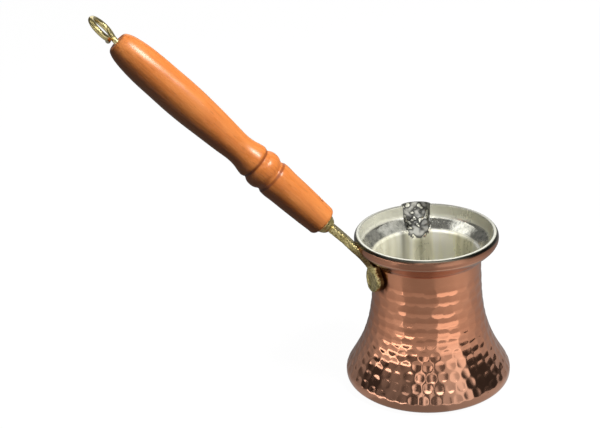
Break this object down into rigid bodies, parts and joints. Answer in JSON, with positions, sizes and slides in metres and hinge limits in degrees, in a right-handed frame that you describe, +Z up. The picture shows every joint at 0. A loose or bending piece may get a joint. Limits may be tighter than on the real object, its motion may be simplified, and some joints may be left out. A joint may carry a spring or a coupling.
{
  "type": "turkish coffee pot cezve",
  "caption": "Hammered copper coffee pot, tinned inside, with a pouring spout and a long turned wooden handle on a cast bracket, ending in a hanging eye.",
  "frame": {"origin": "centre of the pot's flat underside", "axes": "+Z up; the handle leaves towards -X, in a plane 6 mm to the -Y side of the pot's axis; the pouring spout points to +Y"},
  "size_m": [0.2118, 0.091, 0.2197],
  "materials": {
    "copper": "hammered and polished",
    "tin": "wiped tin, satin",
    "cast_brass": "as cast, rubbed bright",
    "rivet_copper": "tinned heads",
    "steel_pin": "dull",
    "varnished_wood": "gloss varnish",
    "brass_wire": "polished"
  },
  "bodies": {
    "root": {"pot_body": "copper", "tin_lining": "tin", "handle_bracket": "cast_brass", "rivet_lower": "rivet_copper", "rivet_upper": "rivet_copper", "cross_pin": "steel_pin", "wooden_handle": "varnished_wood", "screw_eye": "brass_wire"}
  },
  "joints": []
}
